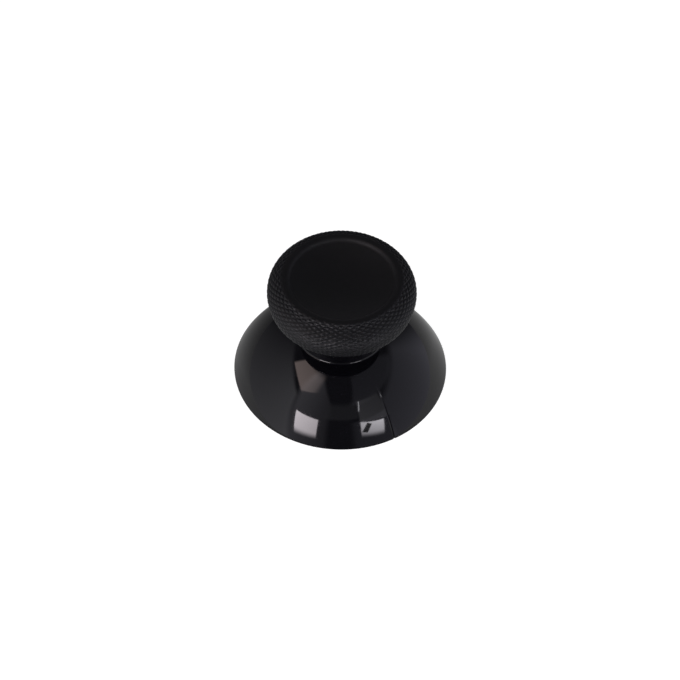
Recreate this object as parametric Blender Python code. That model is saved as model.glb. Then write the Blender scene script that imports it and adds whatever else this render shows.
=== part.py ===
"""Thumbstick cap of a game controller, in metres, +Z up.

Two mouldings share one axis. The hard one is polished: a domed skirt, a neck and the core that
carries the head, with a boss and a flat-sided socket underneath. The soft one is the grip that is
moulded over the core: a round head with a diamond knurl on its side and a dished top.
They are bonded, so the cap moves as one. The origin is on the axis, in the plane of the rim.
"""
import math

import bmesh
import bpy

MM = 0.001

# Skirt: a shell of constant wall, cut from a ball
skirt_radius = 11.58 * MM
dome_rise = 7.0 * MM
skirt_wall = 1.2 * MM
rim_edge_radius = 0.08 * MM

# Neck, up from the dome to the head's underside
neck_radius = 4.75 * MM
neck_fillet = 0.2 * MM
neck_length = 3.5 * MM

# Head: a shallow cone underneath, then an arc out to its widest, then the rounded top
underside_drop = 0.5 * MM
head_overhang = 3.07 * MM
bowl_angle = math.radians(33.0)
bowl_arc_radius = 3.5 * MM
top_round_width = 1.72 * MM
top_round_height = 2.2 * MM

# Top of the head, inwards from the rounding
land_width = 0.25 * MM
lip_radius = 0.35 * MM
dish_depth = 0.75 * MM

# Knurl: crossed spiral grooves, and the pitch of one spiral along the section
knurl_starts = 48
knurl_pitch = 0.5 * MM
knurl_depth = 0.12 * MM
knurl_margin = 0.12 * MM

# Core inside the grip
dish_skin = 1.1 * MM
grip_side_wall = 2.2 * MM
flange_thickness = 1.5 * MM
bond_gap = 0.08 * MM

# Boss and socket for the stick's flat-sided shaft
shaft_diameter = 4.0 * MM
shaft_across_flats = 3.0 * MM
socket_clearance = 0.05 * MM
socket_depth = 6.0 * MM
socket_lead_in = 0.25 * MM
boss_wall = 1.05 * MM
boss_fillet = 0.4 * MM
boss_recess = 0.35 * MM

# Smoothness of the turned shapes
skirt_columns = 72
dome_steps = 6
fillet_steps = 3
edge_steps = 2
dish_steps = 4
curve_points = 60
shaft_arc_steps = 8
sharp_angle = math.radians(30.0)

# Sizes that follow from the ones above
dome_radius = (skirt_radius ** 2 + dome_rise ** 2) / (2 * dome_rise)
dome_centre = dome_rise - dome_radius
hollow_radius = dome_radius - skirt_wall
neck_fillet_height = dome_centre + math.sqrt(
    (dome_radius + neck_fillet) ** 2 - (neck_radius + neck_fillet) ** 2)
underside_height = neck_fillet_height + neck_length
low_edge_height = underside_height + underside_drop
head_radius = neck_radius + head_overhang
widest_height = low_edge_height + bowl_arc_radius * math.sin(bowl_angle)
head_height = widest_height + top_round_height
land_radius = head_radius - top_round_width
lip_centre_radius = land_radius - land_width
dish_radius = lip_centre_radius - lip_radius
dish_edge_height = head_height - lip_radius
dish_floor_height = dish_edge_height - dish_depth
core_height = dish_floor_height - dish_skin
flange_low = core_height - flange_thickness
flange_radius = head_radius - grip_side_wall
socket_radius = shaft_diameter / 2 + socket_clearance
socket_half_flats = shaft_across_flats / 2 + socket_clearance
boss_radius = socket_radius + boss_wall
knurl_columns = 2 * knurl_starts


def arc(centre, radius, start, end, steps):
    """Points on an arc of the section, as (radius, height), between two angles from outwards."""
    angles = [start + (end - start) * step / steps for step in range(steps + 1)]
    return [(centre[0] + radius * math.cos(a), centre[1] + radius * math.sin(a)) for a in angles]


def core_section(gap):
    """The core inside the grip, grown by the gap: the end of the neck, then the flange."""
    return [
        (neck_radius + gap, flange_low - gap),
        (flange_radius + gap, flange_low - gap),
        (flange_radius + gap, core_height + gap),
        (0.0, core_height + gap),
    ]


def dome_section():
    """The neck's fillet, the outside of the dome and the rounded edge of its rim."""
    fillet_centre = (neck_radius + neck_fillet, neck_fillet_height)
    dome_top = math.atan2(neck_fillet_height - dome_centre, neck_radius + neck_fillet)
    fillet = arc(fillet_centre, neck_fillet, math.pi, math.pi + dome_top, fillet_steps)
    edge_rise = rim_edge_radius - dome_centre
    edge_radius = math.sqrt((dome_radius - rim_edge_radius) ** 2 - edge_rise ** 2)
    dome_end = math.atan2(edge_rise, edge_radius)
    dome = arc((0.0, dome_centre), dome_radius, dome_top, dome_end, dome_steps)
    edge = arc((edge_radius, rim_edge_radius), rim_edge_radius, dome_end, -math.pi / 2, edge_steps)
    return fillet + dome[1:] + edge[1:]


def hollow_section():
    """The inside of the dome from the rim in, the boss's fillet, its side and its end."""
    rim_angle = math.atan2(-dome_centre, math.sqrt(hollow_radius ** 2 - dome_centre ** 2))
    rise = math.sqrt((hollow_radius - boss_fillet) ** 2 - (boss_radius + boss_fillet) ** 2)
    top_angle = math.atan2(rise, boss_radius + boss_fillet)
    dome = arc((0.0, dome_centre), hollow_radius, rim_angle, top_angle, dome_steps)
    fillet_centre = (boss_radius + boss_fillet, dome_centre + rise)
    fillet = arc(fillet_centre, boss_fillet, top_angle, math.pi, fillet_steps)
    return dome + fillet[1:] + [(boss_radius, boss_recess), (0.0, boss_recess)]


def head_outline():
    """The head's side, from its low edge to its land: the bowl arc and the elliptical rounding."""
    bowl_centre = (head_radius - bowl_arc_radius, widest_height)
    bowl = arc(bowl_centre, bowl_arc_radius, -bowl_angle, 0.0, curve_points)
    turns = [math.pi / 2 * step / curve_points for step in range(1, curve_points + 1)]
    rounding = [(land_radius + top_round_width * math.cos(turn),
                 widest_height + top_round_height * math.sin(turn)) for turn in turns]
    return bowl + rounding


def evenly_spaced(points, start, end, count):
    """That many even steps along a section, between two distances from its ends."""
    lengths = [0.0]
    for (r0, z0), (r1, z1) in zip(points, points[1:]):
        lengths.append(lengths[-1] + math.hypot(r1 - r0, z1 - z0))
    span = lengths[-1] - start - end
    spaced = []
    index = 0
    for step in range(count + 1):
        target = start + span * step / count
        while index < len(points) - 2 and lengths[index + 1] < target:
            index += 1
        share = (target - lengths[index]) / (lengths[index + 1] - lengths[index])
        (r0, z0), (r1, z1) = points[index], points[index + 1]
        spaced.append((r0 + (r1 - r0) * share, z0 + (z1 - z0) * share))
    return spaced


def section_length(points):
    return sum(math.hypot(r1 - r0, z1 - z0) for (r0, z0), (r1, z1) in zip(points, points[1:]))


def knurl_rows():
    """Sections of the knurl's rows, half a pitch apart, and the outward normal at each."""
    outline = head_outline()
    length = section_length(outline) - 2 * knurl_margin
    count = max(4, round(length / (knurl_pitch / 2)))
    rows = evenly_spaced(outline, knurl_margin, knurl_margin, count)
    normals = []
    for index in range(len(rows)):
        (r0, z0), (r1, z1) = rows[max(index - 1, 0)], rows[min(index + 1, count)]
        length = math.hypot(r1 - r0, z1 - z0)
        normals.append(((z1 - z0) / length, -(r1 - r0) / length))
    return rows, normals


def add_ring(bm, columns, place):
    """A ring of points, each at the (radius, height) that place gives for its column."""
    ring = []
    for column in range(columns):
        radius, height = place(column)
        turn = 2 * math.pi * column / columns
        ring.append(bm.verts.new((radius * math.cos(turn), radius * math.sin(turn), height)))
    return ring


def plain_ring(bm, columns, point):
    return add_ring(bm, columns, lambda column: point)


def add_strip(bm, first, second):
    """Faces between two rings: with as many points, or one with twice as many as the other."""
    fine, coarse = (first, second) if len(first) >= len(second) else (second, first)
    ratio = len(fine) // len(coarse)
    for column in range(len(coarse)):
        low, next_low = coarse[column], coarse[(column + 1) % len(coarse)]
        high = [fine[(column * ratio + step) % len(fine)] for step in range(ratio + 1)]
        if ratio == 1:
            bm.faces.new((low, next_low, high[1], high[0]))
        else:
            bm.faces.new((low, high[1], high[0]))
            bm.faces.new((low, next_low, high[1]))
            bm.faces.new((next_low, high[2], high[1]))


def add_fan(bm, ring, height):
    """Closes a ring with triangles to a point on the axis."""
    centre = bm.verts.new((0.0, 0.0, height))
    for column in range(len(ring)):
        bm.faces.new((ring[column], ring[(column + 1) % len(ring)], centre))


def add_knurl_strip(bm, lower, upper, row):
    """Faces between two knurl rows, each cell creased along the groove through its low points."""
    columns = len(lower)
    for column in range(columns):
        following = (column + 1) % columns
        corners = (lower[column], lower[following], upper[following], upper[column])
        if (row + column) % 2:
            bm.faces.new((corners[0], corners[1], corners[2]))
            bm.faces.new((corners[0], corners[2], corners[3]))
        else:
            bm.faces.new((corners[0], corners[1], corners[3]))
            bm.faces.new((corners[1], corners[2], corners[3]))


def add_knurl(bm):
    """The knurled rows, from the low edge up: points stand proud and lie low by turns."""
    rows, normals = knurl_rows()
    rings = []
    for row, (point, normal) in enumerate(zip(rows, normals)):
        ends = row in (0, len(rows) - 1)

        def place(column):
            side = 1 if (row + column) % 2 == 0 else -1
            relief = 0.0 if ends else side * knurl_depth / 2
            return point[0] + normal[0] * relief, point[1] + normal[1] * relief

        rings.append(add_ring(bm, knurl_columns, place))
    for row, (lower, upper) in enumerate(zip(rings, rings[1:])):
        add_knurl_strip(bm, lower, upper, row)
    return rings[0], rings[-1]


def dish_section():
    """The lip's rounding and the hollow of the dish, from the land in to the axis."""
    lip = arc((lip_centre_radius, dish_edge_height), lip_radius, math.pi / 2, math.pi, edge_steps)
    ball = (dish_radius ** 2 + dish_depth ** 2) / (2 * dish_depth)
    half_angle = math.asin(dish_radius / ball)
    start = -math.pi / 2 + half_angle
    floor = arc((0.0, dish_floor_height + ball), ball, start, -math.pi / 2, dish_steps)
    return lip + floor[1:-1]


def new_object(name, bm, colour, roughness):
    """An object of its own from the mesh, with its own material, faces out and shaded smooth."""
    bmesh.ops.recalc_face_normals(bm, faces=bm.faces)
    mesh = bpy.data.meshes.new(name)
    bm.to_mesh(mesh)
    bm.free()
    mesh.shade_smooth()
    mesh.set_sharp_from_angle(angle=sharp_angle)
    material = bpy.data.materials.new(name)
    material.use_nodes = True
    shader = material.node_tree.nodes["Principled BSDF"]
    shader.inputs["Base Color"].default_value = (*colour, 1.0)
    shader.inputs["Roughness"].default_value = roughness
    shader.inputs["Metallic"].default_value = 0.0
    mesh.materials.append(material)
    obj = bpy.data.objects.new(name, mesh)
    bpy.context.collection.objects.link(obj)
    return obj


def turned_mesh(section, columns):
    """A closed section turned about the axis."""
    bm = bmesh.new()
    points = [bm.verts.new((radius, 0.0, height)) for radius, height in section]
    edges = [bm.edges.new(pair) for pair in zip(points, points[1:])]
    bmesh.ops.spin(bm, geom=points + edges, cent=(0, 0, 0), axis=(0, 0, 1),
                   angle=2 * math.pi, steps=columns, use_merge=True)
    bmesh.ops.remove_doubles(bm, verts=bm.verts, dist=1e-7)
    return bm


def socket_outline(growth):
    """The shaft's round section with two flats, grown all round, as (x, y) points."""
    radius = socket_radius + growth
    flat = socket_half_flats + growth
    reach = math.asin(flat / radius)
    right = arc((0.0, 0.0), radius, -reach, reach, shaft_arc_steps)
    left = arc((0.0, 0.0), radius, math.pi - reach, math.pi + reach, shaft_arc_steps)
    return right + left


def add_socket(skirt):
    """Cuts the blind socket up into the boss, with a lead-in at its mouth."""
    mouth = boss_recess
    levels = [
        (2 * socket_lead_in, mouth - socket_lead_in),
        (0.0, mouth + socket_lead_in),
        (0.0, mouth + socket_depth),
    ]
    bm = bmesh.new()
    loops = [[bm.verts.new((x, y, height)) for x, y in socket_outline(growth)]
             for growth, height in levels]
    for lower, upper in zip(loops, loops[1:]):
        add_strip(bm, lower, upper)
    bm.faces.new(loops[0])
    bm.faces.new(loops[-1])
    cutter = new_object("socket_cutter", bm, (0.5, 0.5, 0.5), 0.5)
    cutter.hide_render = True
    cutter.display_type = 'WIRE'
    cut = skirt.modifiers.new("socket", 'BOOLEAN')
    cut.operation = 'DIFFERENCE'
    cut.object = cutter


def make_skirt_stem():
    """The polished moulding, turned from one section that runs down its outside and back up."""
    section = core_section(0.0)[::-1] + dome_section() + hollow_section()
    skirt = new_object("skirt_stem", turned_mesh(section, skirt_columns), (0.010, 0.010, 0.013), 0.1)
    add_socket(skirt)


def make_grip_cap():
    """The soft moulding: its socket for the core, underside, knurled side, land and dished top."""
    bm = bmesh.new()
    cavity = [(neck_radius + bond_gap, underside_height)] + core_section(bond_gap)
    inside = [plain_ring(bm, knurl_starts, point) for point in cavity[-2::-1]]
    add_fan(bm, inside[0], cavity[-1][1])
    outline = head_outline()
    low_edge = plain_ring(bm, knurl_columns, outline[0])
    knurl_low, knurl_high = add_knurl(bm)
    land = plain_ring(bm, knurl_columns, outline[-1])
    dish = [plain_ring(bm, knurl_starts, point) for point in dish_section()]
    chain = inside + [low_edge, knurl_low]
    for first, second in zip(chain, chain[1:]):
        add_strip(bm, first, second)
    chain = [knurl_high, land] + dish
    for first, second in zip(chain, chain[1:]):
        add_strip(bm, first, second)
    add_fan(bm, dish[-1], dish_floor_height)
    new_object("grip_cap", bm, (0.016, 0.016, 0.017), 0.6)


def main():
    for obj in list(bpy.data.objects):
        bpy.data.objects.remove(obj)
    make_skirt_stem()
    make_grip_cap()


main()
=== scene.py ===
import bisect
import math

import bmesh
import bpy
from mathutils import Matrix, Vector


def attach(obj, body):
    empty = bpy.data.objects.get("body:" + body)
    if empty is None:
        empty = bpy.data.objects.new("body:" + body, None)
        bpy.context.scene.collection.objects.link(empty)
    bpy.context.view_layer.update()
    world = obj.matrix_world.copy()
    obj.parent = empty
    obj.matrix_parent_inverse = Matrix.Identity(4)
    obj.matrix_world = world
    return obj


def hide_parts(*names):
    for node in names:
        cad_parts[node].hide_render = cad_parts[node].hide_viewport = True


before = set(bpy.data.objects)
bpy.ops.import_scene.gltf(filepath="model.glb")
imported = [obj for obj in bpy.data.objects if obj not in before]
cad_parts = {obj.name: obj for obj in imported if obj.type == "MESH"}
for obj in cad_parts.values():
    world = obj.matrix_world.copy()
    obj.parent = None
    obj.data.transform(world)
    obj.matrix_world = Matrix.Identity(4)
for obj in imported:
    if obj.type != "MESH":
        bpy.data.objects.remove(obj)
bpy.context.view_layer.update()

MM = 0.001
full_turn = 2 * math.pi
half_turn = math.pi
quarter_turn = math.pi / 2

# Skirt and neck
skirt_radius = 11.58 * MM
dome_rise = 7.0 * MM
skirt_wall = 1.2 * MM
rim_edge_radius = 0.1 * MM
neck_radius = 4.75 * MM
neck_fillet = 0.2 * MM
neck_length = 3.5 * MM

# Head
underside_drop = 0.5 * MM
underside_edge_radius = 0.05 * MM
head_overhang = 3.07 * MM
bowl_angle = math.radians(33.0)
bowl_arc_radius = 3.5 * MM
top_round_width = 1.72 * MM
top_round_height = 2.2 * MM
land_width = 0.15 * MM
lip_radius = 0.5 * MM
lip_slope = math.radians(50.0)
dish_fillet_radius = 0.5 * MM
dish_depth = 1.1 * MM

# Knurl
knurl_starts = 48
knurl_pitch = 0.5 * MM
knurl_height_out = 0.055 * MM
knurl_depth = 0.11 * MM
knurl_margin = 0.12 * MM
knurl_low_margin = 0.03 * MM
knurl_flat_share = 0.2
knurl_samples = 8

# Core, boss and socket
dish_skin = 1.1 * MM
grip_side_wall = 2.2 * MM
flange_thickness = 1.5 * MM
bond_gap = 0.08 * MM
shaft_diameter = 4.0 * MM
shaft_across_flats = 3.0 * MM
socket_clearance = 0.05 * MM
socket_depth = 6.0 * MM
socket_lead_in = 0.25 * MM
boss_wall = 1.05 * MM
boss_fillet = 0.4 * MM
boss_recess = 0.35 * MM
boss_edge_radius = 0.1 * MM

# Moulding seam: a fine groove down two opposite meridians of the skirt, deeper towards the rim.
# Even columns closer to it than its clearance, in half widths, make way for its own.
seam_angle = math.radians(-59.1)
seam_half_width = math.radians(0.6)
seam_top = 5.4 * MM
seam_depth = 0.07 * MM
seam_steps = 3
seam_clearance = 1.5

# Mesh steps: columns round the axis, and steps along each stretch of a section
skirt_columns = 288
neck_steps = 6
fillet_steps = 8
dome_steps = 48
rim_edge_steps = 12
hollow_steps = 24
boss_edge_steps = 9
socket_side_steps = 24
outline_steps = 60
underside_steps = 6
underside_edge_steps = 5
lip_steps = 10
dish_steps = 36
panel_steps = 12

# Edges sharper than this stay sharp, in degrees
skirt_sharp_edge = 12.0
grip_sharp_edge = 35.0
floor_sharp_edge = 30.0

# Sizes that follow
dome_radius = (skirt_radius ** 2 + dome_rise ** 2) / (2 * dome_rise)
dome_centre = dome_rise - dome_radius
hollow_radius = dome_radius - skirt_wall
neck_fillet_height = dome_centre + math.sqrt(
    (dome_radius + neck_fillet) ** 2 - (neck_radius + neck_fillet) ** 2)
underside_height = neck_fillet_height + neck_length
low_edge_height = underside_height + underside_drop
head_radius = neck_radius + head_overhang
widest_height = low_edge_height + bowl_arc_radius * math.sin(bowl_angle)
head_height = widest_height + top_round_height
land_radius = head_radius - top_round_width
lip_centre_radius = land_radius - land_width
dish_floor_height = head_height - dish_depth
core_height = dish_floor_height - dish_skin
flange_low = core_height - flange_thickness
flange_radius = head_radius - grip_side_wall
socket_radius = shaft_diameter / 2 + socket_clearance
socket_half_flats = shaft_across_flats / 2 + socket_clearance
boss_radius = socket_radius + boss_wall

# Polished plastic. A noise is its scale in cycles a metre, its detail and its roughness.
plastic_ior = 1.5
plastic_dark = (0.0018, 0.0018, 0.0028)
plastic_light = (0.0032, 0.0032, 0.0048)
tint_noise = (220.0, 2.0, 0.5)
haze_noise = (900.0, 4.0, 0.6)
haze_noise_range = (0.3, 0.7)
haze_roughness = (0.025, 0.075)
wave_noise = (260.0, 1.0, 0.5)
wave_height = 0.004 * MM
gloss_grain_noise = (9000.0, 2.0, 0.5)
gloss_grain_height = 0.00015 * MM

# Soft grip. Wear leaves the knurl's flats a share of the roughness that its grooves have.
grip_ior = 1.4
grip_dark = (0.0020, 0.0022, 0.0028)
grip_light = (0.0032, 0.0035, 0.0044)
# The knurl's flats are painted paler than its grooves: a painted highlight on the raised flats and
# painted shade in the grooves.
grip_flats_painted_light = (0.0115, 0.0123, 0.0146)
mottle_noise = (500.0, 3.0, 0.5)
grip_roughness_noise = (2500.0, 3.0, 0.5)
grip_roughness = (0.5, 0.62)
flats_roughness_share = 0.66
grip_grain_noise = (16000.0, 3.0, 0.6)
grip_grain_height = 0.006 * MM
grip_grain_strength = 0.6
sheen_weight = 0.01
sheen_roughness = 0.4
sheen_tint = (0.85, 0.9, 1.0)

# Camera: the photograph's viewing angle. The frame is 680 pixels square.
frame_pixels = 680
camera_distance = 0.25
camera_elevation = math.radians(49.29)
camera_roll = math.radians(1.23)
camera_pixels_per_metre = 9377.6
camera_sensor = 36.0
camera_clip_start = 0.01
object_pixel = (340.8, 327.2)
camera_target = Vector((0.0, 0.0, 6.5 * MM))

# Light: distances from the camera's target in metres, the window bar's shades, the rise of an edge
# that is straight, and tints
panel_distance = 1.0
wall_distance = 1.3
bar_distance = 0.9
bar_base = 0.02
bar_glow = 0.25
straight_edges = (0.0, 0.0)
pure_white = (1.0, 1.0, 1.0, 1.0)
white = (0.95, 0.94, 1.0)
window_white = (0.97, 0.94, 1.0)
pink = (1.0, 0.92, 0.97)
lilac = (0.93, 0.9, 1.0)
pale_lilac = (0.94, 0.93, 1.0)
pale_blue = (0.95, 0.95, 1.0)
cool = (0.86, 0.85, 1.0)
warm = (1.0, 0.8, 0.75)
room_colour = (0.06, 0.06, 0.066)

# Floor: the dull one's dim sides are given by an azimuth in degrees from the front towards +X, the
# cosines where the dimming is full and where it ends, and the level at each
floor_size = 4.0
floor_gap = 0.02 * MM
floor_roughness = 0.9
floor_specular = 0.1
white_floor_base = 0.3
white_floor_glow = 0.96
dull_floor_base = 0.05
dim_behind = (-170.0, 0.92, 0.27, 0.09, 0.53)
dim_front = (0.0, 0.97, 0.55, 0.2, 1.0)


def arc(centre, radius, start, end, steps):
    """Points on an arc of the section, as (radius, height), between two angles from outwards."""
    angles = [start + (end - start) * step / steps for step in range(steps + 1)]
    return [(centre[0] + radius * math.cos(a), centre[1] + radius * math.sin(a)) for a in angles]


def straight(start, end, steps):
    """Even points on a line of the section."""
    (r0, z0), (r1, z1) = start, end
    return [(r0 + (r1 - r0) * step / steps, z0 + (z1 - z0) * step / steps)
            for step in range(steps + 1)]


def evenly_spaced(points, start, end, count):
    """That many even steps along a section, between two distances from its ends."""
    lengths = [0.0]
    for (r0, z0), (r1, z1) in zip(points, points[1:]):
        lengths.append(lengths[-1] + math.hypot(r1 - r0, z1 - z0))
    span = lengths[-1] - start - end
    spaced = []
    for step in range(count + 1):
        target = start + span * step / count
        index = min(max(bisect.bisect_left(lengths, target) - 1, 0), len(points) - 2)
        share = (target - lengths[index]) / (lengths[index + 1] - lengths[index])
        (r0, z0), (r1, z1) = points[index], points[index + 1]
        spaced.append((r0 + (r1 - r0) * share, z0 + (z1 - z0) * share))
    return spaced


def section_length(points):
    return sum(math.hypot(r1 - r0, z1 - z0) for (r0, z0), (r1, z1) in zip(points, points[1:]))


def even_angles(columns):
    return [full_turn * column / columns for column in range(columns)]


def add_ring(bm, angles, place):
    """A ring of points, each at the (radius, height) that place gives for its angle."""
    ring = []
    for column, turn in enumerate(angles):
        radius, height = place(column, turn)
        ring.append(bm.verts.new((radius * math.cos(turn), radius * math.sin(turn), height)))
    return ring


def plain_ring(bm, angles, point):
    return add_ring(bm, angles, lambda column, turn: point)


def add_strip(bm, first, second):
    """Faces between two rings, of which one may have a whole number of times as many points."""
    fine, coarse = (first, second) if len(first) >= len(second) else (second, first)
    ratio = len(fine) // len(coarse)
    for column in range(len(coarse)):
        low, next_low = coarse[column], coarse[(column + 1) % len(coarse)]
        high = [fine[(column * ratio + step) % len(fine)] for step in range(ratio + 1)]
        if ratio == 1:
            bm.faces.new((low, next_low, high[1], high[0]))
            continue
        half = ratio // 2
        for step in range(ratio):
            bm.faces.new((low if step < half else next_low, high[step + 1], high[step]))
        bm.faces.new((low, next_low, high[half]))


def add_chain(bm, rings):
    for first, second in zip(rings, rings[1:]):
        add_strip(bm, first, second)


def add_fan(bm, ring, height):
    """Closes a ring with triangles to a point on the axis."""
    centre = bm.verts.new((0.0, 0.0, height))
    for column in range(len(ring)):
        bm.faces.new((ring[column], ring[(column + 1) % len(ring)], centre))


def finished_mesh(name, bm):
    """A mesh with the built faces."""
    mesh = bpy.data.meshes.new(name)
    bm.to_mesh(mesh)
    bm.free()
    return mesh


def shown_object(name, data):
    """An object in the scene, with its mesh or its camera data."""
    shown = bpy.data.objects.new(name, data)
    bpy.context.collection.objects.link(shown)
    return shown


def new_piece(name, bm, material, sharp_edge):
    """An object from the mesh: faces out, shaded smooth but for its sharp edges."""
    bmesh.ops.recalc_face_normals(bm, faces=bm.faces)
    mesh = finished_mesh(name, bm)
    mesh.shade_smooth()
    mesh.set_sharp_from_angle(angle=math.radians(sharp_edge))
    mesh.materials.append(material)
    return shown_object(name, mesh)


def core_section(gap):
    """The core inside the grip, grown by the gap: the end of the neck, then the flange."""
    return [
        (neck_radius + gap, flange_low - gap),
        (flange_radius + gap, flange_low - gap),
        (flange_radius + gap, core_height + gap),
        (0.0, core_height + gap),
    ]


def dome_section():
    """The neck, its fillet, the outside of the dome and the rounded edge of its rim."""
    neck_top = (neck_radius, underside_height + bond_gap)
    neck = straight(neck_top, (neck_radius, neck_fillet_height), neck_steps)
    fillet_centre = (neck_radius + neck_fillet, neck_fillet_height)
    dome_top = math.atan2(neck_fillet_height - dome_centre, neck_radius + neck_fillet)
    fillet = arc(fillet_centre, neck_fillet, half_turn, half_turn + dome_top, fillet_steps)
    edge_rise = rim_edge_radius - dome_centre
    edge_radius = math.sqrt((dome_radius - rim_edge_radius) ** 2 - edge_rise ** 2)
    dome_end = math.atan2(edge_rise, edge_radius)
    dome = arc((0.0, dome_centre), dome_radius, dome_top, dome_end, dome_steps)
    edge_centre = (edge_radius, rim_edge_radius)
    edge = arc(edge_centre, rim_edge_radius, dome_end, -quarter_turn, rim_edge_steps)
    return neck[:-1] + fillet + dome[1:] + edge[1:]


def hollow_section():
    """The inside of the dome from the rim in, the boss's fillet, its side and its end."""
    rim_angle = math.atan2(-dome_centre, math.sqrt(hollow_radius ** 2 - dome_centre ** 2))
    rise = math.sqrt((hollow_radius - boss_fillet) ** 2 - (boss_radius + boss_fillet) ** 2)
    top_angle = math.atan2(rise, boss_radius + boss_fillet)
    dome = arc((0.0, dome_centre), hollow_radius, rim_angle, top_angle, hollow_steps)
    fillet_centre = (boss_radius + boss_fillet, dome_centre + rise)
    fillet = arc(fillet_centre, boss_fillet, top_angle, half_turn, fillet_steps)
    edge_centre = (boss_radius - boss_edge_radius, boss_recess + boss_edge_radius)
    edge = arc(edge_centre, boss_edge_radius, 0.0, -quarter_turn, boss_edge_steps)
    return dome + fillet[1:] + edge


def skirt_angles():
    """Even angles round the axis, with finer ones across the two seams."""
    angles = even_angles(skirt_columns)
    for side in range(2):
        middle = (seam_angle + side * half_turn) % full_turn
        cleared = seam_clearance * seam_half_width
        angles = [angle for angle in angles if abs(angle - middle) > cleared]
        steps = range(-seam_steps, seam_steps + 1)
        angles += [middle + seam_half_width * step / seam_steps for step in steps]
    return sorted(angles)


def seam_relief(turn, height):
    """Depth of the seam's groove at an angle round the axis and a height, as a negative push."""
    apart = abs((turn - seam_angle + quarter_turn) % half_turn - quarter_turn)
    depth = seam_depth * min(1.0, max(0.0, 1 - height / seam_top))
    return -depth * max(0.0, 1 - apart / seam_half_width)


def add_turned(bm, section, angles, relief=None):
    """Rings along a section, pushed out along its normal by the relief at each angle."""
    rings = []
    for index, point in enumerate(section):
        (r0, z0), (r1, z1) = section[max(index - 1, 0)], section[min(index + 1, len(section) - 1)]
        length = math.hypot(r1 - r0, z1 - z0)
        normal = (-(z1 - z0) / length, (r1 - r0) / length)

        def place(column, turn):
            push = relief(turn, point[1]) if relief else 0.0
            return point[0] + normal[0] * push, point[1] + normal[1] * push

        rings.append(add_ring(bm, angles, place))
    add_chain(bm, rings)
    return rings[0], rings[-1]


def socket_outline(growth):
    """The shaft's round section with two flats, grown all round, as (x, y) points."""
    radius = socket_radius + growth
    reach = math.asin((socket_half_flats + growth) / radius)
    right = arc((0.0, 0.0), radius, -reach, reach, socket_side_steps)
    left = arc((0.0, 0.0), radius, half_turn - reach, half_turn + reach, socket_side_steps)
    return right + left


def socket_cutter():
    """The blind socket's space up into the boss, with a lead-in at its mouth."""
    levels = [
        (2 * socket_lead_in, boss_recess - socket_lead_in),
        (0.0, boss_recess + socket_lead_in),
        (0.0, boss_recess + socket_depth),
    ]
    bm = bmesh.new()
    loops = [[bm.verts.new((x, y, height)) for x, y in socket_outline(growth)]
             for growth, height in levels]
    add_chain(bm, loops)
    bm.faces.new(loops[0])
    bm.faces.new(loops[-1])
    bmesh.ops.recalc_face_normals(bm, faces=bm.faces)
    return shown_object("socket_cutter", finished_mesh("socket_cutter", bm))


def cut_socket(piece):
    """Cuts the socket out of the piece."""
    cutter = socket_cutter()
    cut = piece.modifiers.new("socket", 'BOOLEAN')
    cut.operation = 'DIFFERENCE'
    cut.object = cutter
    depsgraph = bpy.context.evaluated_depsgraph_get()
    result = bpy.data.meshes.new_from_object(piece.evaluated_get(depsgraph))
    piece.modifiers.clear()
    piece.data = result
    bpy.data.objects.remove(cutter)


def make_skirt(material):
    """The polished moulding: core, neck, seamed dome, rim, hollow, boss and socket."""
    bm = bmesh.new()
    angles = skirt_angles()
    core = core_section(0.0)[::-1]
    core_top, core_foot = add_turned(bm, core[1:], angles)
    add_fan(bm, core_top, core_height)
    neck_top, rim = add_turned(bm, dome_section(), angles, seam_relief)
    add_strip(bm, core_foot, neck_top)
    mouth, boss_end = add_turned(bm, hollow_section(), angles)
    add_strip(bm, rim, mouth)
    add_fan(bm, boss_end, boss_recess)
    piece = new_piece("skirt_polished", bm, material, skirt_sharp_edge)
    cut_socket(piece)
    return piece


def knurl_height(along, turn):
    """Height of the knurl from 0, in a groove, to 1, on a flat, at a place on the head."""
    around = knurl_starts * turn / full_turn
    rising = abs(2 * ((around + along) % 1.0) - 1)
    falling = abs(2 * ((around - along) % 1.0) - 1)
    return min(1.0, min(rising, falling) / (1 - knurl_flat_share))


def head_outline():
    """The head's side, from its low edge to its land: the bowl arc and the elliptical rounding."""
    bowl_centre = (head_radius - bowl_arc_radius, widest_height)
    bowl = arc(bowl_centre, bowl_arc_radius, -bowl_angle, 0.0, outline_steps)
    turns = [quarter_turn * step / outline_steps for step in range(1, outline_steps + 1)]
    rounding = [(land_radius + top_round_width * math.cos(turn),
                 widest_height + top_round_height * math.sin(turn)) for turn in turns]
    return bowl + rounding


def underside_section(low_edge):
    """The head's underside, from the neck out to its rounded low edge."""
    hub = (neck_radius + bond_gap, underside_height)
    slope = math.atan2(low_edge[1] - hub[1], low_edge[0] - hub[0])
    turn = (quarter_turn - bowl_angle) - slope
    reach = underside_edge_radius * math.tan(turn / 2)
    start = (low_edge[0] - reach * math.cos(slope), low_edge[1] - reach * math.sin(slope))
    centre = (start[0] - underside_edge_radius * math.sin(slope),
              start[1] + underside_edge_radius * math.cos(slope))
    first = slope - quarter_turn
    edge = arc(centre, underside_edge_radius, first, first + turn, underside_edge_steps)
    return straight(hub, start, underside_steps)[:-1] + edge


def knurl_rows(outline):
    """Even places along the head's side, a whole number of half pitches in all."""
    length = section_length(outline) - knurl_low_margin - knurl_margin
    half_pitches = round(length / (knurl_pitch / 2))
    count = half_pitches * knurl_samples // 2
    return evenly_spaced(outline, knurl_low_margin, knurl_margin, count)


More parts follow.
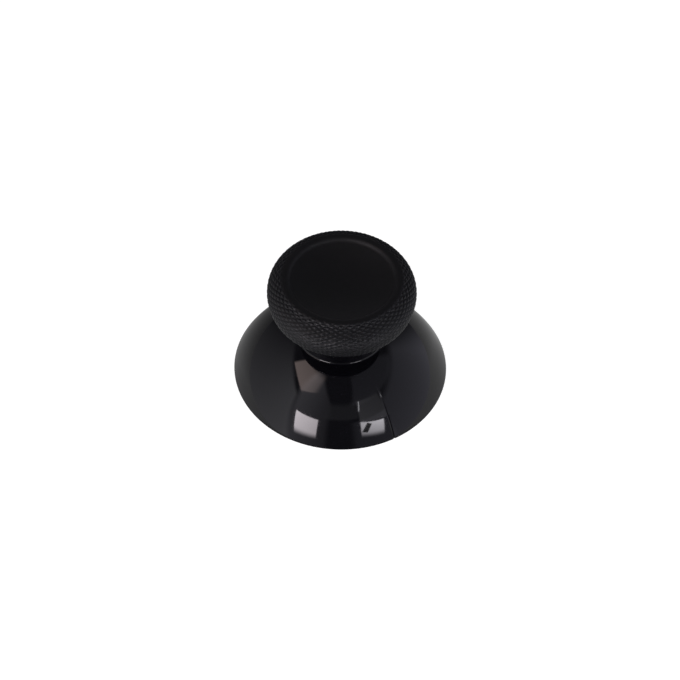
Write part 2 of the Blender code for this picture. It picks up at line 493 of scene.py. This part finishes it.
def add_knurl_ring(bm, layer, angles, rows, row):
    """One ring of the knurl, which fades out at both ends, and its heights for the material."""
    last = len(rows) - 1
    point = rows[row]
    (r0, z0), (r1, z1) = rows[max(row - 1, 0)], rows[min(row + 1, last)]
    step_length = math.hypot(r1 - r0, z1 - z0)
    normal = ((z1 - z0) / step_length, -(r1 - r0) / step_length)
    fade = min(1.0, min(row, last - row) / (knurl_samples / 2))
    heights = [knurl_height(row / knurl_samples, turn) for turn in angles]

    def place(column, turn):
        relief = (knurl_height_out + knurl_depth * (heights[column] - 1)) * fade
        return point[0] + normal[0] * relief, point[1] + normal[1] * relief

    ring = add_ring(bm, angles, place)
    for vert, height in zip(ring, heights):
        vert[layer] = height * fade
    return ring


def add_knurl_strip(bm, layer, lower, upper):
    """Triangles between two rings of the knurl, folded along its ridges and grooves."""
    for column in range(len(lower)):
        following = (column + 1) % len(lower)
        corners = (lower[column], lower[following], upper[following], upper[column])
        heights = [corner[layer] for corner in corners]
        if abs(heights[0] - heights[2]) <= abs(heights[1] - heights[3]):
            triangles = ((0, 1, 2), (0, 2, 3))
        else:
            triangles = ((0, 1, 3), (1, 2, 3))
        for triangle in triangles:
            bm.faces.new([corners[index] for index in triangle])


def add_knurl(bm):
    """The knurled side of the head: its first and last ring, and the outline it follows."""
    outline = head_outline()
    rows = knurl_rows(outline)
    angles = even_angles(knurl_starts * knurl_samples)
    layer = bm.verts.layers.float.new("knurl")
    rings = [add_knurl_ring(bm, layer, angles, rows, row) for row in range(len(rows))]
    for lower, upper in zip(rings, rings[1:]):
        add_knurl_strip(bm, layer, lower, upper)
    return rings[0], rings[-1], outline


def dish_section():
    """The land's inner edge, the lip's rounding, a fillet and the dish's hollow, in to the axis."""
    lip_centre = (lip_centre_radius, head_height - lip_radius)
    lip = arc(lip_centre, lip_radius, quarter_turn, quarter_turn + lip_slope, lip_steps)
    reach = lip_radius + dish_fillet_radius
    fillet_centre = (lip_centre_radius - reach * math.sin(lip_slope),
                     head_height - lip_radius + reach * math.cos(lip_slope))
    gap = fillet_centre[1] - dish_fillet_radius - dish_floor_height
    run = fillet_centre[0]
    slope = 2 * math.atan(gap / run)
    foot = slope - quarter_turn
    fillet = arc(fillet_centre, dish_fillet_radius, lip_slope - quarter_turn, foot, fillet_steps)
    ball = dish_fillet_radius + run / math.sin(slope)
    floor = arc((0.0, dish_floor_height + ball), ball, foot, -quarter_turn, dish_steps)
    return lip + fillet[1:] + floor[1:-1]


def make_grip(material):
    """The soft moulding: its socket for the core, underside, knurled side, land and dished top."""
    bm = bmesh.new()
    low, high, outline = add_knurl(bm)
    every = even_angles(len(low))
    every_second = even_angles(len(low) // 2)
    every_fourth = even_angles(len(low) // 4)
    cavity = core_section(bond_gap)
    inside = [plain_ring(bm, every_fourth, point) for point in cavity[-2::-1]]
    add_fan(bm, inside[0], cavity[-1][1])
    under = [plain_ring(bm, every_second, point) for point in underside_section(outline[0])]
    add_chain(bm, inside + under + [low])
    land = plain_ring(bm, every, outline[-1])
    dish = [plain_ring(bm, every_second, point) for point in dish_section()]
    add_chain(bm, [high, land] + dish)
    add_fan(bm, dish[-1], dish_floor_height)
    return new_piece("grip_knurled", bm, material, grip_sharp_edge)


def new_material(name):
    """A Principled material and its shader."""
    material = bpy.data.materials.new(name)
    material.use_nodes = True
    return material, material.node_tree.nodes["Principled BSDF"]


def noise(tree, scale, detail, roughness):
    """Noise in the object's own metres: scale is in cycles a metre."""
    place = tree.nodes.new('ShaderNodeTexCoord')
    texture = tree.nodes.new('ShaderNodeTexNoise')
    texture.inputs["Scale"].default_value = scale
    texture.inputs["Detail"].default_value = detail
    texture.inputs["Roughness"].default_value = roughness
    tree.links.new(place.outputs["Object"], texture.inputs["Vector"])
    return texture.outputs["Fac"]


def mapped(tree, value, low, high, from_low=0.0, from_high=1.0):
    """A value rescaled between two others."""
    node = tree.nodes.new('ShaderNodeMapRange')
    node.inputs["From Min"].default_value = from_low
    node.inputs["From Max"].default_value = from_high
    node.inputs["To Min"].default_value = low
    node.inputs["To Max"].default_value = high
    tree.links.new(value, node.inputs["Value"])
    return node.outputs["Result"]


def multiplied(tree, first, second):
    node = tree.nodes.new('ShaderNodeMath')
    node.operation = 'MULTIPLY'
    tree.links.new(first, node.inputs[0])
    tree.links.new(second, node.inputs[1])
    return node.outputs["Value"]


def two_colours(tree, factor, first, second):
    """A colour between two, by a factor. The first may be another node's colour."""
    node = tree.nodes.new('ShaderNodeMix')
    node.data_type = 'RGBA'
    if isinstance(first, tuple):
        node.inputs["A"].default_value = (*first, 1.0)
    else:
        tree.links.new(first, node.inputs["A"])
    node.inputs["B"].default_value = (*second, 1.0)
    tree.links.new(factor, node.inputs["Factor"])
    return node.outputs["Result"]


def bump(tree, height, distance, strength=1.0, normal=None):
    node = tree.nodes.new('ShaderNodeBump')
    node.inputs["Distance"].default_value = distance
    node.inputs["Strength"].default_value = strength
    tree.links.new(height, node.inputs["Height"])
    if normal is not None:
        tree.links.new(normal, node.inputs["Normal"])
    return node.outputs["Normal"]


def polished_plastic():
    """Black gloss plastic with a cool tint, a trace of mould waviness and faint haze."""
    material, shader = new_material("polished_plastic")
    tree = material.node_tree
    shader.inputs["IOR"].default_value = plastic_ior
    tint = two_colours(tree, noise(tree, *tint_noise), plastic_dark, plastic_light)
    tree.links.new(tint, shader.inputs["Base Color"])
    haze = mapped(tree, noise(tree, *haze_noise), *haze_roughness, *haze_noise_range)
    tree.links.new(haze, shader.inputs["Roughness"])
    wave = bump(tree, noise(tree, *wave_noise), wave_height)
    grain = bump(tree, noise(tree, *gloss_grain_noise), gloss_grain_height, normal=wave)
    tree.links.new(grain, shader.inputs["Normal"])
    return material


def soft_grip():
    """Matt black soft-touch rubber with fine grain, smoother on the knurl's flats, which are painted
    paler as a painted highlight, with painted shade left dark in its grooves.
    """
    material, shader = new_material("soft_grip")
    tree = material.node_tree
    shader.inputs["IOR"].default_value = grip_ior
    shader.inputs["Sheen Weight"].default_value = sheen_weight
    shader.inputs["Sheen Roughness"].default_value = sheen_roughness
    shader.inputs["Sheen Tint"].default_value = (*sheen_tint, 1.0)
    height = tree.nodes.new('ShaderNodeAttribute')
    height.attribute_name = "knurl"
    mottle = two_colours(tree, noise(tree, *mottle_noise), grip_dark, grip_light)
    # Painted light by the knurl's height: pale flats as a painted highlight, dark grooves as painted
    # shade.
    colour = two_colours(tree, height.outputs["Fac"], mottle, grip_flats_painted_light)
    tree.links.new(colour, shader.inputs["Base Color"])
    worn = mapped(tree, height.outputs["Fac"], 1.0, flats_roughness_share)
    rough = mapped(tree, noise(tree, *grip_roughness_noise), *grip_roughness)
    tree.links.new(multiplied(tree, rough, worn), shader.inputs["Roughness"])
    grain = bump(tree, noise(tree, *grip_grain_noise), grip_grain_height, grip_grain_strength)
    tree.links.new(grain, shader.inputs["Normal"])
    return material


def direction(azimuth, elevation):
    """Unit vector at an azimuth from the front towards +X and an elevation, in degrees."""
    turn, lift = math.radians(azimuth), math.radians(elevation)
    return Vector((math.sin(turn) * math.cos(lift), -math.cos(turn) * math.cos(lift), math.sin(lift)))


def panel_mesh(name, corners, rises, distance):
    """A sheet between four directions, given as (azimuth, elevation), with its own UVs.

    The corners run low left, low right, high right, high left; the low and the high edge each
    rise by some degrees towards the middle.
    """
    (low_left, low_right, high_right, high_left) = corners
    bm = bmesh.new()
    layer = bm.loops.layers.uv.new("panel")
    grid = []
    for row in range(panel_steps + 1):
        v = row / panel_steps
        points = []
        for column in range(panel_steps + 1):
            u = column / panel_steps
            azimuth, elevation = ((1 - v) * ((1 - u) * low_left[axis] + u * low_right[axis])
                                  + v * ((1 - u) * high_left[axis] + u * high_right[axis])
                                  for axis in range(2))
            lift = 4 * u * (1 - u) * ((1 - v) * rises[0] + v * rises[1])
            place = camera_target + direction(azimuth, elevation + lift) * distance
            points.append((bm.verts.new(place), (u, v)))
        grid.append(points)
    for lower, upper in zip(grid, grid[1:]):
        for column in range(panel_steps):
            corner = (lower[column], lower[column + 1], upper[column + 1], upper[column])
            face = bm.faces.new([vert for vert, place in corner])
            for loop, (vert, place) in zip(face.loops, corner):
                loop[layer].uv = place
    return finished_mesh(name, bm)


def faded(tree, axis, start, end):
    """1 in a sheet's middle, and a smooth fall to 0 at its two ends along one axis."""
    ends = []
    for low, high in ((0.0, start), (1.0, 1.0 - end)):
        ramp = tree.nodes.new('ShaderNodeMapRange')
        ramp.interpolation_type = 'SMOOTHSTEP'
        ramp.inputs["From Min"].default_value = low
        ramp.inputs["From Max"].default_value = high
        tree.links.new(axis, ramp.inputs["Value"])
        ends.append(ramp.outputs["Result"])
    return multiplied(tree, ends[0], ends[1])


def glow(name, levels, tint, fades):
    """See-through light of one tint, with a brightness at each corner and soft ends.

    The levels are low left, low right, high right, high left; the fades left, right, low, high.
    """
    material = bpy.data.materials.new(name)
    material.use_nodes = True
    tree = material.node_tree
    tree.nodes.clear()
    place = tree.nodes.new('ShaderNodeUVMap')
    place.uv_map = "panel"
    axes = tree.nodes.new('ShaderNodeSeparateXYZ')
    tree.links.new(place.outputs["UV"], axes.inputs["Vector"])
    level = tree.nodes.new('ShaderNodeMix')
    tree.links.new(axes.outputs["Y"], level.inputs["Factor"])
    tree.links.new(mapped(tree, axes.outputs["X"], levels[0], levels[1]), level.inputs["A"])
    tree.links.new(mapped(tree, axes.outputs["X"], levels[3], levels[2]), level.inputs["B"])
    fade = multiplied(tree, faded(tree, axes.outputs["X"], fades[0], fades[1]),
                      faded(tree, axes.outputs["Y"], fades[2], fades[3]))
    light = tree.nodes.new('ShaderNodeEmission')
    light.inputs["Color"].default_value = (*tint, 1.0)
    tree.links.new(multiplied(tree, level.outputs["Result"], fade), light.inputs["Strength"])
    clear = tree.nodes.new('ShaderNodeBsdfTransparent')
    both = tree.nodes.new('ShaderNodeAddShader')
    tree.links.new(clear.outputs["BSDF"], both.inputs[0])
    tree.links.new(light.outputs["Emission"], both.inputs[1])
    output = tree.nodes.new('ShaderNodeOutputMaterial')
    tree.links.new(both.outputs["Shader"], output.inputs["Surface"])
    return material


def add_sheet(name, mesh, material):
    """A studio sheet, seen only by its light and its reflection."""
    mesh.materials.append(material)
    sheet = shown_object(name, mesh)
    sheet.visible_camera = False


def add_panel(name, corners, levels, tint, fades, rises=straight_edges, distance=panel_distance):
    add_sheet(name, panel_mesh(name, corners, rises, distance), glow(name, levels, tint, fades))


def add_window_bar():
    """The dark slanting bar that stands before the right window."""
    corners = ((22.6, 18.2), (27.8, 16.6), (34.0, 23.4), (29.6, 25.8))
    material, shader = new_material("bar_dark")
    shader.inputs["Base Color"].default_value = (bar_base, bar_base, bar_base, 1.0)
    shader.inputs["Emission Color"].default_value = pure_white
    shader.inputs["Emission Strength"].default_value = bar_glow
    add_sheet("window_bar", panel_mesh("window_bar", corners, straight_edges, bar_distance), material)


def add_windows():
    """Two windows in front, with a dark bar before the right one and a bright gap above it."""
    add_panel(
        "window_left",
        corners=((-41.8, 8.2), (-20.9, 10.2), (-22.2, 29.8), (-49.2, 28.8)),
        levels=(9.5, 6.5, 8.5, 12.0),
        tint=pink,
        fades=(0.03, 0.03, 0.34, 0.03))
    add_panel(
        "window_right",
        corners=((21.2, 12.8), (43.2, 8.2), (47.8, 22.4), (22.5, 28.5)),
        levels=(3.2, 4.5, 10.0, 8.5),
        tint=window_white,
        fades=(0.03, 0.05, 0.4, 0.03))
    add_window_bar()
    add_panel(
        "window_gap",
        corners=((22.7, 38.0), (24.7, 38.0), (28.2, 48.0), (26.2, 48.0)),
        levels=(4.5, 4.5, 4.5, 4.5),
        tint=white,
        fades=(0.2, 0.2, 0.1, 0.1))


def add_walls():
    """Dim walls at both sides and behind."""
    add_panel(
        "wall_left",
        corners=((-145.0, -1.0), (-41.5, -1.0), (-57.0, 41.0), (-130.0, 44.0)),
        levels=(0.02, 0.9, 0.7, 0.05),
        tint=white,
        fades=(0.001, 0.09, 0.001, 0.11),
        rises=(0.0, 7.0),
        distance=wall_distance)
    add_panel(
        "wall_right",
        corners=((48.0, -1.0), (150.0, -1.0), (134.0, 42.0), (56.0, 42.0)),
        levels=(0.48, 0.62, 0.32, 0.28),
        tint=cool,
        fades=(0.04, 0.25, 0.001, 0.2),
        rises=(0.0, 7.0),
        distance=wall_distance)
    add_panel(
        "wall_back",
        corners=((150.0, -1.0), (210.0, -1.0), (210.0, 32.0), (150.0, 32.0)),
        levels=(0.35, 0.35, 0.25, 0.25),
        tint=white,
        fades=(0.3, 0.3, 0.001, 0.4),
        distance=wall_distance)


def add_warm_ceiling():
    """Two warm panels that meet, high at the left."""
    add_panel(
        "ceiling_warm",
        corners=((-101.0, 47.2), (-53.0, 42.6), (-53.0, 73.0), (-101.0, 68.0)),
        levels=(2.2, 2.3, 1.5, 1.4),
        tint=warm,
        fades=(0.1, 0.21, 0.04, 0.35),
        rises=(3.2, 0.0))
    add_panel(
        "ceiling_warm_front",
        corners=((-63.0, 42.6), (-32.0, 54.0), (-32.0, 73.0), (-63.0, 73.0)),
        levels=(2.1, 0.6, 0.5, 1.4),
        tint=warm,
        fades=(0.32, 0.4, 0.05, 0.4))


def add_fills():
    """Faint fills in front and high at the right."""
    add_panel(
        "front_left",
        corners=((-52.0, -1.0), (-8.0, -1.0), (-8.0, 46.0), (-72.0, 69.0)),
        levels=(0.64, 0.09, 0.12, 0.85),
        tint=lilac,
        fades=(0.22, 0.15, 0.001, 0.12),
        rises=(0.0, 13.0))
    add_panel(
        "front_right",
        corners=((22.0, 28.0), (56.0, 21.0), (58.0, 47.0), (22.0, 50.0)),
        levels=(0.55, 0.42, 0.32, 0.42),
        tint=pale_lilac,
        fades=(0.06, 0.12, 0.05, 0.15))
    add_panel(
        "front_right_low",
        corners=((10.0, -1.0), (55.0, -1.0), (55.0, 30.0), (10.0, 30.0)),
        levels=(0.15, 0.3, 0.26, 0.16),
        tint=cool,
        fades=(0.2, 0.1, 0.001, 0.05))
    add_panel(
        "ceiling_right",
        corners=((11.0, 43.0), (120.0, 42.0), (104.0, 74.0), (30.0, 74.0)),
        levels=(0.2, 0.17, 0.13, 0.12),
        tint=cool,
        fades=(0.08, 0.1, 0.15, 0.2))
    add_panel(
        "front_middle",
        corners=((-19.0, 31.0), (25.0, 31.0), (25.0, 50.0), (-19.0, 50.0)),
        levels=(0.13, 0.13, 0.13, 0.13),
        tint=pale_blue,
        fades=(0.2, 0.12, 0.15, 0.35))


def make_room():
    """The faint even light that is left where no panel stands."""
    world = bpy.data.worlds.new("room")
    world.use_nodes = True
    background = world.node_tree.nodes["Background"]
    background.inputs["Color"].default_value = (*room_colour, 1.0)
    bpy.context.scene.world = world


def add_floor(name, height, base):
    """A wide matt sheet at a height, and its shader."""
    bm = bmesh.new()
    bmesh.ops.create_grid(bm, x_segments=1, y_segments=1, size=floor_size / 2)
    material, shader = new_material(name)
    shader.inputs["Base Color"].default_value = (base, base, base, 1.0)
    shader.inputs["Roughness"].default_value = floor_roughness
    shader.inputs["Specular IOR Level"].default_value = floor_specular
    shader.inputs["Emission Color"].default_value = pure_white
    floor = new_piece(name, bm, material, floor_sharp_edge)
    floor.location.z = height
    return floor, shader


def make_white_floor():
    """The white floor that only the camera sees."""
    floor, shader = add_floor("floor", -floor_gap / 2, white_floor_base)
    shader.inputs["Emission Strength"].default_value = white_floor_glow
    floor.visible_glossy = False
    floor.visible_diffuse = False
    floor.visible_shadow = False


def shade_by_direction(tree, place, azimuth, near, far, near_level, far_level):
    """A level by how nearly a place lies at an azimuth from the cap: the cosines near and far."""
    towards = tree.nodes.new('ShaderNodeVectorMath')
    towards.operation = 'DOT_PRODUCT'
    towards.inputs[1].default_value = direction(azimuth, 0.0)
    tree.links.new(place, towards.inputs[0])
    return mapped(tree, towards.outputs["Value"], far_level, near_level, far, near)


def make_dull_floor():
    """The duller floor that lights the cap and that it reflects.

    It is dimmest in front of the cap and behind it, a little to its left.
    """
    floor, shader = add_floor("floor_dull", -floor_gap, dull_floor_base)
    floor.visible_camera = False
    tree = floor.active_material.node_tree
    place = tree.nodes.new('ShaderNodeTexCoord')
    outwards = tree.nodes.new('ShaderNodeVectorMath')
    outwards.operation = 'NORMALIZE'
    tree.links.new(place.outputs["Object"], outwards.inputs[0])
    behind = shade_by_direction(tree, outwards.outputs["Vector"], *dim_behind)
    front = shade_by_direction(tree, outwards.outputs["Vector"], *dim_front)
    tree.links.new(multiplied(tree, behind, front), shader.inputs["Emission Strength"])


def make_camera():
    """The camera at the photograph's angle, aimed so that the object falls where it does there."""
    back = direction(0.0, math.degrees(camera_elevation))
    right = Vector((1.0, 0.0, 0.0))
    up = back.cross(right)
    middle = frame_pixels / 2
    aim = (camera_target - right * (object_pixel[0] - middle) / camera_pixels_per_metre
           + up * (object_pixel[1] - middle) / camera_pixels_per_metre)
    place = camera_target + back * camera_distance
    data = bpy.data.cameras.new("camera")
    data.sensor_width = camera_sensor
    data.lens = camera_pixels_per_metre * camera_distance * camera_sensor / frame_pixels
    data.clip_start = camera_clip_start
    camera = shown_object("camera", data)
    facing = (place - aim).to_track_quat('Z', 'Y').to_matrix().to_4x4()
    camera.matrix_world = Matrix.Translation(place) @ facing @ Matrix.Rotation(camera_roll, 4, 'Z')
    bpy.context.scene.camera = camera


bpy.context.scene.view_settings.view_transform = 'Standard'
make_camera()
add_windows()
add_walls()
add_warm_ceiling()
add_fills()
make_room()
make_white_floor()
make_dull_floor()
skirt = make_skirt(polished_plastic())
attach(skirt, "root")
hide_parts("skirt_stem")
grip = make_grip(soft_grip())
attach(grip, "root")
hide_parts("grip_cap")
